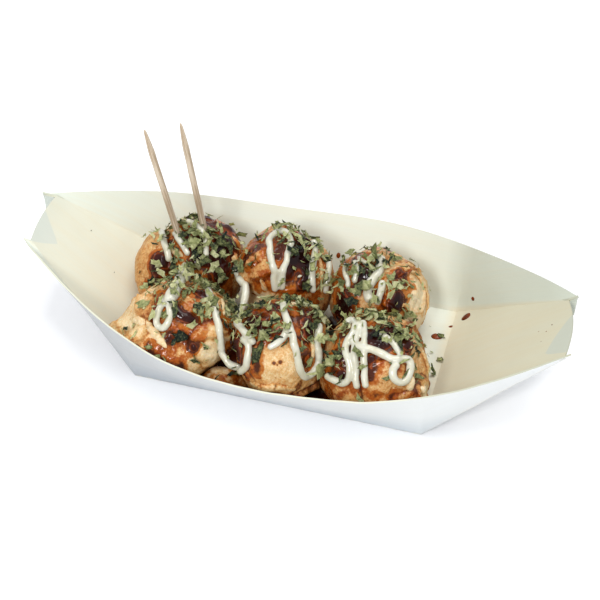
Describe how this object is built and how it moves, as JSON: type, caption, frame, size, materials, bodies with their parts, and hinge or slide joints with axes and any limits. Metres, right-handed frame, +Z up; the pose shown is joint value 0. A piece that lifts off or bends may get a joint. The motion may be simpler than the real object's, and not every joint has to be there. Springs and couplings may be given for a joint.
{
  "type": "takoyaki balls in a folded veneer boat tray",
  "caption": "Browned takoyaki balls with sauce, mayonnaise and green seaweed flakes, in a folded wood-veneer boat tray, with wooden picks stuck in one ball.",
  "frame": {"origin": "middle of the tray's base, on the surface that it rests on", "axes": "+X along the tray towards its empty end, +Y towards the back wall, beside which the ball with the picks lies, +Z up"},
  "size_m": [0.2178, 0.1092, 0.0858],
  "materials": {
    "veneer": "thin pale pine veneer, unfinished and smooth, with a fine grain",
    "batter": null,
    "glazed_batter": null,
    "sauce": "thick dark red-brown sauce, very glossy, orange-brown where thin",
    "mayonnaise": "piped cream strands, satin gloss",
    "seaweed": "dry green seaweed flakes, matt, from pale to very dark green",
    "pick_wood": "bare birch with a fine lengthwise grain"
  },
  "bodies": {
    "root": {"tray": "veneer", "ball_front_left": "batter", "ball_front_mid": "batter", "ball_front_right": "batter", "ball_back_left": "batter", "ball_back_mid": "batter", "ball_back_right": "batter", "batter_scrap": "glazed_batter", "pick_left": "pick_wood", "pick_right": "pick_wood"}
  },
  "joints": []
}
